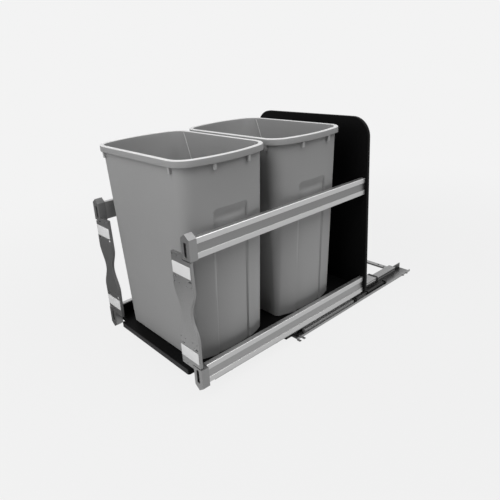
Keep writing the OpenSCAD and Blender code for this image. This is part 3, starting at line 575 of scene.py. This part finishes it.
panel_low, panel_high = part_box("back_panel")
panel_outline = rounded_outline(
    rectangle(panel_low.x, panel_low.z, panel_high.x, panel_high.z),
    [PANEL_FOOT, PANEL_FOOT, PANEL_CORNER, PANEL_CORNER], steps=16,
)
panel = slab("back_panel_board", panel_outline, panel_low.y, panel_high.y, PANEL_EDGE)
panel_coat = new_material("panel_coating", BOARD_BLACK, 0.45, specular=0.04)
panel_middle, panel_half = (panel_low.y + panel_high.y) / 2, (panel_high.y - panel_low.y) / 2
panel_banded = ramp(
    panel_coat, apart(panel_coat, "Y", panel_middle),
    panel_half - PANEL_BAND_STARTS, panel_half - PANEL_BAND_FULL,
)
paint(panel_coat, two_tone(panel_coat, panel_banded, BOARD_BLACK, PANEL_BAND))
vary_roughness(panel_coat, grain(panel_coat, 300.0), 0.36, 0.54)
emboss(panel_coat, grain(panel_coat, 1200.0), 0.00004)
panel.data.materials.append(panel_coat)
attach(panel, "carriage")
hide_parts("back_panel")
dress(["panel_screws"], bright_steel, edge=0.0004)

# Side rails
# Four extruded aluminium rails, satin anodised, each with a sunk band along its outer face.
# Their front ends sit on the brackets' spigots and their back ends are screwed through the panel.
RAIL_EDGE = 0.0014
GROOVE_EDGE = 0.0004
GROOVE_H = 0.0175
GROOVE_D = 0.002
RAIL_RINGS = 12
HAIR = 1e-6
RAIL_GREY = 0.5
BAND_GREY = 0.23
# The sunk band is painted darker, and it is painted darker on the upper rails than on the lower ones. That
# difference between the levels is painted shade.
BAND_TONE_AND_SHADE = {"upper": 1.0, "lower": 0.7}
# Painted highlight along the rails' outer upper edge: full on the upper rails, faint on the lower ones, and
# its pale grey.
EDGE_HIGHLIGHT_SHARE = {"upper": 1.0, "lower": 0.15}
EDGE_HIGHLIGHT_GREY = 0.7


def carry(piece, name, values):
    """Gives each point of a piece's mesh a value, under a name that the piece's material reads."""
    points = piece.data.attributes.new(name, "FLOAT", "POINT").data
    points.foreach_set("value", np.asarray(values, np.float32))


def attribute(material, name):
    """A value that the piece's mesh carries at each point."""
    node = material.node_tree.nodes.new("ShaderNodeAttribute")
    node.attribute_name = name
    return node.outputs["Fac"]


def rail(name, node, side, share, highlight):
    """An extruded bar: the outline of a tall rectangle with a band sunk in its outer side, carried along Y.
    The attribute "band" is share in the sunk band, "worn" is wear, a painted highlight along the round of the
    outer upper edge, and both are 0 elsewhere."""
    low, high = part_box(node)
    outer, inner = (high.x, low.x) if side > 0 else (low.x, high.x)
    bed = outer - side * GROOVE_D
    middle = (low.z + high.z) / 2
    groove_low, groove_high = middle - GROOVE_H / 2, middle + GROOVE_H / 2
    outline = rounded_outline(
        [(inner, low.z), (outer, low.z), (outer, groove_low), (bed, groove_low),
         (bed, groove_high), (outer, groove_high), (outer, high.z), (inner, high.z)],
        [RAIL_EDGE] * 2 + [GROOVE_EDGE] * 4 + [RAIL_EDGE] * 2, steps=5,
    )
    y = np.linspace(low.y, high.y, RAIL_RINGS)
    rings = np.empty((len(y), len(outline), 3))
    rings[..., 0] = outline[:, 0]
    rings[..., 1] = y[:, None]
    rings[..., 2] = outline[:, 1]
    piece = skin(name, rings)
    from_bed, from_middle = np.abs(outline - (bed, middle)).T
    in_band = (from_bed < GROOVE_EDGE) & (from_middle < GROOVE_H / 2 + GROOVE_EDGE)
    carry(piece, "band", np.tile(in_band * share, len(y)))
    from_edge = np.abs(outline - (outer, high.z))
    on_edge = ((from_edge > HAIR) & (from_edge < RAIL_EDGE - HAIR)).all(1)
    carry(piece, "edge_highlight", np.tile(on_edge * highlight, len(y)))
    return piece


rail_metal = new_material("satin_aluminium", (0.47, 0.472, 0.475), 0.42, metallic=1.0)
drawn = two_tone(rail_metal, grain(rail_metal, 10.0, (8, 0.3, 8)), *shades(RAIL_GREY, 0.06))
drawn = toned(rail_metal, attribute(rail_metal, "band"), drawn, BAND_GREY)
# Painted highlight: the round of the outer upper edge is painted pale.
paint(rail_metal, toned(rail_metal, attribute(rail_metal, "edge_highlight"), drawn, EDGE_HIGHLIGHT_GREY))
vary_roughness(rail_metal, grain(rail_metal, 1500.0, (1, 0.01, 1)), 0.36, 0.5)
emboss(rail_metal, grain(rail_metal, 1300.0, (1, 0.008, 1)), 0.00003)
for level_name in ("upper", "lower"):
    for side_name, side in (("right", 1), ("left", -1)):
        node = f"{level_name}_{side_name}_rail"
        piece = rail(node + "_extrusion", node, side, BAND_TONE_AND_SHADE[level_name], EDGE_HIGHLIGHT_SHARE[level_name])
        piece.data.materials.append(rail_metal)
        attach(piece, "carriage")
        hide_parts(node)

# Front brackets
# Die-cast brackets on the front ends of the rails, coated mid grey, each with a gabled end and a slot in
# front. Two screws fix each bracket to its rail, and the clamp screw behind the slot holds the door plate.
COAT_GREY = 0.24

coat = new_material("grey_coating", (0.24, 0.242, 0.245), 0.38, metallic=0.7)
paint(coat, two_tone(coat, grain(coat, 20.0), *shades(COAT_GREY, 0.06)))
vary_roughness(coat, grain(coat, 400.0), 0.32, 0.44)
emboss(coat, grain(coat, 1500.0), 0.00004)
dress([f"{h}_{s}_bracket" for h in ("upper", "lower") for s in ("right", "left")], coat, edge=0.0007)
dress(["bracket_screws"], bright_steel, edge=0.0003)
dress(["clamp_screws"], black_plastic, edge=0.0003)

# Door plates
# Pressed steel plates that the door is screwed to, coated like the brackets, with a turned edge and a
# narrow waist. Their tongues slide in the brackets, so the door's height can be set.
dress(both("door_plate"), coat, edge=0.0005)

# Adhesive pads
# Thin strips of double-sided tape on each plate's front, still under their white backing paper.
# They hold the door in place while its screws are driven.
PAD_H = 0.024
PAD_CORNER = 0.0015
PAD_EDGE = 0.0003
PAPER_GREY = 0.66

paper = new_material("backing_paper", (0.66, 0.66, 0.65), 0.6, specular=0.35)
paint(paper, two_tone(paper, grain(paper, 90.0), *shades(PAPER_GREY, 0.04)))
vary_roughness(paper, grain(paper, 700.0), 0.5, 0.7)
emboss(paper, grain(paper, 260.0), 0.00006)
for side_name in ("right", "left"):
    low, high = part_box(f"{side_name}_adhesive_pads")
    for end_name, bottom in (("lower", low.z), ("upper", high.z - PAD_H)):
        outline = rounded_outline(rectangle(low.x, bottom, high.x, bottom + PAD_H), PAD_CORNER, steps=5)
        piece = slab(f"{side_name}_{end_name}_tape", outline, low.y, high.y, PAD_EDGE)
        piece.data.materials.append(paper)
        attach(piece, f"{side_name}_door_side")
        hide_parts(f"{side_name}_adhesive_pads")

# Bins
# Two grey bins moulded in one piece from fine-grained plastic, with tapering walls, bowed long sides, a
# folded-over rim and a sunk panel with a hand scoop in each long side. They stand loose on the tray.
BOW = 0.020
DRAFT_W = 0.024
DRAFT_D = 0.0125
TOP_CORNER = 0.037
FOOT_CORNER = 0.013
FOOT_R = 0.0025
WALL_T = 0.0025
BIN_GREY = (0.26, 0.26, 0.262)


def bow_radius(half_d):
    """Radius of the arc that bows a long side out by BOW over the half depth:
    (half depth squared + BOW squared) / (2 BOW)."""
    return (half_d ** 2 + BOW ** 2) / (2 * BOW)


def corner_centre(half_w, half_d, corner):
    """X and Y of the centre of a corner arc that lies inside the long side's arc and touches it and the end.
    Y is the half depth less the corner's radius. In X it is as far from the long arc's centre as the two
    radii's difference and that Y leave, by Pythagoras."""
    bow = bow_radius(half_d)
    corner_y = half_d - corner
    return half_w - bow + np.sqrt((bow - corner) ** 2 - corner_y ** 2), corner_y


def bin_rings(half_w, half_d, corner, side_steps, corner_steps, end_steps):
    """Plan outlines of a bin, one for each half width, half depth and corner radius.
    Each long side is an arc that bows out by BOW. It swings to where the corner arc touches it, and the
    corner arc swings on to the straight end. Half of the outline is worked out, and the other half is its
    negative."""
    half_w, half_d, corner = (np.asarray(v, float)[:, None] for v in (half_w, half_d, corner))
    bow = bow_radius(half_d)
    bow_x = half_w - bow
    corner_x, corner_y = corner_centre(half_w, half_d, corner)
    turn = np.arcsin(corner_y / (bow - corner))
    side = np.linspace(-1, 1, side_steps)[None, :] * turn
    arc = turn + (np.pi / 2 - turn) * np.linspace(0, 1, corner_steps + 1)[None, 1:]
    across = np.linspace(1, -1, end_steps + 1)[None, 1:-1]
    arc_x = corner_x + corner * np.cos(arc)
    arc_y = corner_y + corner * np.sin(arc)
    x = np.concatenate([arc_x[:, ::-1], bow_x + bow * np.cos(side), arc_x, corner_x * across], 1)
    y = np.concatenate([-arc_y[:, ::-1], bow * np.sin(side), arc_y, half_d + 0 * across], 1)
    return np.concatenate([np.stack([x, y], -1), np.stack([-x, -y], -1)], 1)


RECESS_HALF = 0.042
RECESS_LOW = -0.02
RECESS_TOP = 0.3195
RECESS_DEPTH = 0.0035
RECESS_TURN = 0.010
RECESS_STEP = 0.0018
SCOOP_H = 0.022
SCOOP_DEPTH = 0.003
SCOOP_AT = 0.3005
SCOOP_SPREAD = 0.0095
SCOOP_FULLNESS = 0.6


def sunk(y, z):
    """How far a long side is sunk at y from the bin's middle and z above its bottom.
    Inside a rectangle with round corners the depth is full, with a soft step at its border, and near its
    top the depth falls off as 1 - (share of the way up) squared. The hand scoop adds a round hollow there,
    a bell curve in z times a power of the cosine across."""
    mid, half = (RECESS_LOW + RECESS_TOP) / 2, (RECESS_TOP - RECESS_LOW) / 2
    over_y = np.abs(y) - RECESS_HALF + RECESS_TURN
    over_z = np.abs(z - mid) - half + RECESS_TURN
    outside = np.hypot(np.maximum(over_y, 0), np.maximum(over_z, 0))
    border = outside + np.minimum(np.maximum(over_y, over_z), 0) - RECESS_TURN
    step = np.clip(-border / RECESS_STEP, 0, 1)
    soft_step = step * step * (3 - 2 * step)
    way_up = np.clip((z - RECESS_TOP + SCOOP_H) / SCOOP_H, 0, 1)
    bell = np.exp(-((z - SCOOP_AT) / SCOOP_SPREAD) ** 2)
    hollow = bell * np.cos(np.clip(y / RECESS_HALF, -1, 1) * np.pi / 2) ** SCOOP_FULLNESS
    return soft_step * (RECESS_DEPTH * (1 - way_up ** 2) + SCOOP_DEPTH * hollow * (1 - way_up ** 4))


RIM_OUT = 0.006
RIM_H = 0.0135
RIM_R = 0.0022
SKIRT_R = 0.0012
LIP_R = 0.0014
WALL_TOP = 0.0035
ROOF_INSET = 0.0004
NECK_GAP = 0.002
INNER_NECK = 0.01
FOOT_SPAN = (0.0085, 0.022)
WALL_SPAN = (0.04, 0.28)
SCOOP_SPAN = (0.2925, 0.3235)
NECK = 0.335
# How far down from the rim's top the painted highlight reaches, outside and inside.
HIGHLIGHT_OUTSIDE = 0.0012
HIGHLIGHT_INSIDE = 0.0006


def bin_size(node):
    """A bin's middle, the height that it stands at, and its half width, half depth and height at the rim."""
    low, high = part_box(node)
    return (low + high) / 2, low.z, (high.x - low.x) / 2, (high.y - low.y) / 2, high.z - low.z


def bin_wall(z, inset, rim_w, rim_d, tall):
    """Half width, half depth and corner radius of a bin's wall at z above its foot, drawn in by inset.
    They run from the foot's size to the rim's size in proportion to the height."""
    fall = 1 - z / tall
    return (
        rim_w - RIM_OUT - DRAFT_W * fall - inset,
        rim_d - RIM_OUT - DRAFT_D * fall - inset,
        TOP_CORNER - (TOP_CORNER - FOOT_CORNER) * fall - inset,
    )


def bin_shell(name, node):
    """A bin as one closed surface: up the outer wall, round the rim, down the inner wall.
    Each station of the profile is a plan outline at a height, with the stations closest at the hand scoop.
    Edges are quarter circles. The attribute "rubbed" is 1 along the rim's top, where a highlight is painted,
    and 0 elsewhere."""
    middle, stands_at, rim_w, rim_d, tall = bin_size(node)
    quarter = np.linspace(0, np.pi / 2, 6)
    rise, swing = 1 - np.cos(quarter), 1 - np.sin(quarter)

    wall_z = np.concatenate([
        np.linspace(*FOOT_SPAN, 8), np.linspace(*WALL_SPAN, 12), np.linspace(*SCOOP_SPAN, 26),
        np.linspace(NECK, tall - RIM_H - NECK_GAP, 5), [tall - WALL_TOP],
    ])
    outer_z = np.concatenate([FOOT_R * rise, wall_z])
    outer_in = np.concatenate([FOOT_R * swing, 0 * wall_z])

    skirt_z = tall - RIM_H + SKIRT_R
    rim_z = np.concatenate([
        [tall - WALL_T, tall - WALL_T],
        skirt_z - SKIRT_R * np.sin(quarter), skirt_z - SKIRT_R * np.cos(quarter),
        [tall - RIM_H / 2],
        tall - RIM_R + RIM_R * np.sin(quarter),
    ])
    rim_in = np.concatenate([
        [RIM_OUT - ROOF_INSET, WALL_T],
        WALL_T - SKIRT_R * rise, SKIRT_R * swing,
        [0.0],
        RIM_R * rise,
    ])

    inner_wall_z = np.concatenate([
        np.linspace(tall - INNER_NECK, NECK, 6), np.linspace(*SCOOP_SPAN[::-1], 14),
        np.linspace(*WALL_SPAN[::-1], 10),
    ])
    inner_z = np.concatenate([tall - LIP_R * rise, inner_wall_z, WALL_T + FOOT_R * swing])
    inner_in = WALL_T + np.concatenate([-LIP_R * swing, 0 * inner_wall_z, FOOT_R * rise])

    outer = bin_wall(outer_z, outer_in, rim_w, rim_d, tall)
    rim = (rim_w - rim_in, rim_d - rim_in, TOP_CORNER + RIM_OUT - rim_in)
    inner = bin_wall(inner_z, inner_in, rim_w, rim_d, tall)
    stations = [np.concatenate(parts) for parts in zip(outer, rim, inner)]
    height = np.concatenate([outer_z, rim_z, inner_z])[:, None]
    plan = bin_rings(*stations, side_steps=61, corner_steps=10, end_steps=4)
    rings = np.empty(plan.shape[:2] + (3,))
    rings[..., 0] = plan[..., 0] - np.sign(plan[..., 0]) * sunk(plan[..., 1], height) + middle.x
    rings[..., 1] = plan[..., 1] + middle.y
    rings[..., 2] = height + stands_at
    piece = skin(name, rings, smooth_to=40.0)
    # Painted highlight along the rim's top, outside and inside.
    edge_highlight = np.concatenate([0 * outer_z, rim_z > tall - HIGHLIGHT_OUTSIDE, inner_z > tall - HIGHLIGHT_INSIDE])
    carry(piece, "painted_highlight", np.repeat(edge_highlight, plan.shape[1]))
    return piece


# Painted highlight: the rim's top, the ribs and the beads are painted paler, towards this grey, as far as
# their attribute says.
PAINTED_HIGHLIGHT_GREY = 0.62
bin_plastic = new_material("bin_plastic", BIN_GREY, 0.6, specular=0.2)
clouded = two_tone(bin_plastic, grain(bin_plastic, 9.0, detail=2.0), *shades(BIN_GREY[0], 0.04))
paint(bin_plastic, toned(bin_plastic, attribute(bin_plastic, "painted_highlight"), clouded, PAINTED_HIGHLIGHT_GREY))
vary_roughness(bin_plastic, grain(bin_plastic, 420.0), 0.54, 0.66)
emboss(bin_plastic, grain(bin_plastic, 1400.0), 0.00005)

RIB_T = 0.0055
RIB_H = 0.013
RIB_X = 0.122
RIB_Y = 0.041
RIB_BACK = 0.004
RIB_SUNK = 0.001
RIB_ROOT = 0.0015
RIB_INSET = 0.0012
RIB_LEAN = 0.001
RIB_EDGE = 0.0006
RIB_HIGHLIGHT = 0.2
BLOCK_FACES = [(0, 1, 2, 3), (7, 6, 5, 4), (0, 4, 5, 1), (1, 5, 6, 2), (2, 6, 7, 3), (3, 7, 4, 0)]


def bin_ribs(name, node):
    """The small upright ribs under a bin's rim: two on each end and two on each long side.
    A rib is a block whose outer face leans back to the wall at its foot. Its eight corners are worked out
    for all ribs at once: from the wall outwards to just inside the rim, turned to each of the four sides."""
    middle, stands_at, rim_w, rim_d, tall = bin_size(node)
    bow = bow_radius(rim_d)
    rim_at_rib = rim_w - bow + math.sqrt(bow ** 2 - RIB_Y ** 2)
    top = stands_at + tall - RIM_H + RIB_SUNK
    near, far = RIB_Y - RIB_BACK, RIB_Y + RIB_BACK
    out = np.repeat([rim_d, rim_at_rib], 4)
    along = np.array([-RIB_X, RIB_X, -RIB_X, RIB_X, -near, far, -far, near])
    turn = np.radians([-90, -90, 90, 90, 0, 0, 180, 180])[:, None, None]
    across = np.array([-1, 1, 1, -1]) * RIB_T / 2
    root = RIM_OUT + RIB_ROOT
    inset = np.array([
        [root, root, RIB_INSET + RIB_LEAN, RIB_INSET + RIB_LEAN],
        [root, root, RIB_INSET, RIB_INSET],
    ])
    reach = out[:, None, None] - inset
    shift = np.broadcast_to((along[:, None] + across)[:, None], reach.shape)
    corners = np.stack([
        reach * np.cos(turn) - shift * np.sin(turn) + middle.x,
        reach * np.sin(turn) + shift * np.cos(turn) + middle.y,
        np.broadcast_to(np.array([top - RIB_H, top])[None, :, None], reach.shape),
    ], -1)
    faces = (np.array(BLOCK_FACES) + 8 * np.arange(len(out))[:, None, None]).reshape(-1, 4)
    piece = closed_piece(name, corners, faces.tolist())
    # The ribs are painted a little paler: a painted highlight.
    carry(piece, "painted_highlight", np.full(corners.size // 3, RIB_HIGHLIGHT))
    bevel = piece.modifiers.new("edge", "BEVEL")
    bevel.width = RIB_EDGE
    bevel.segments = 2
    return piece


BEAD_R = 0.001
BEAD_TOP = (0.1235, 0.4165)
BEAD_FOOT = (0.091, 0.333)
BEAD_FADE = 0.15
BEAD_TIP = 0.15
BEAD_HIGHLIGHT = 0.5


def bin_beads(name, node):
    """Two slanting beads on the inside of a bin's back wall, each a half-sunk round bar on a straight line.
    The line goes from BEAD_TOP to BEAD_FOOT, given as the distance from the middle and the height. Its
    depth follows the wall, which is flat and turns into the corner's arc. The bar's radius falls to
    BEAD_TIP of itself over the last BEAD_FADE of the line."""
    middle, stands_at, rim_w, rim_d, tall = bin_size(node)
    t = np.linspace(0, 1, 40)[:, None]
    run, drop = BEAD_FOOT[0] - BEAD_TOP[0], BEAD_FOOT[1] - BEAD_TOP[1]
    x = BEAD_TOP[0] + run * t
    z = BEAD_TOP[1] + drop * t
    half_w, half_d, corner = bin_wall(z, WALL_T, rim_w, rim_d, tall)
    corner_x, corner_y = corner_centre(half_w, half_d, corner)
    y = corner_y + np.sqrt(corner ** 2 - np.maximum(x - corner_x, 0) ** 2)
    radius = BEAD_R * np.clip((1 - t) / BEAD_FADE, BEAD_TIP, 1)
    turn = np.linspace(0, 2 * np.pi, 12, endpoint=False)[None, :]
    sideways = radius * np.cos(turn) / np.hypot(run, drop)
    pieces = []
    for side_name, side in (("left", -1), ("right", 1)):
        rings = np.stack([
            middle.x + side * (x - drop * sideways),
            middle.y + y + radius * np.sin(turn),
            stands_at + z + run * sideways,
        ], -1)
        piece = skin(f"{name}_{side_name}", rings)
        # The beads are painted paler: a painted highlight down the inside of the back wall.
        carry(piece, "painted_highlight", np.full(rings.size // 3, BEAD_HIGHLIGHT))
        pieces.append(piece)
    return pieces


for place_name in ("front", "rear"):
    node = f"{place_name}_bin"
    pieces = bin_beads(f"{node}_bead", node)
    pieces.append(bin_ribs(f"{node}_ribs", node))
    shell = bin_shell(f"{node}_moulding", node)
    pieces.append(shell)
    for piece in pieces:
        piece.data.materials.append(bin_plastic)
        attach(piece, f"{place_name}_bin_body")
    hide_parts(node)
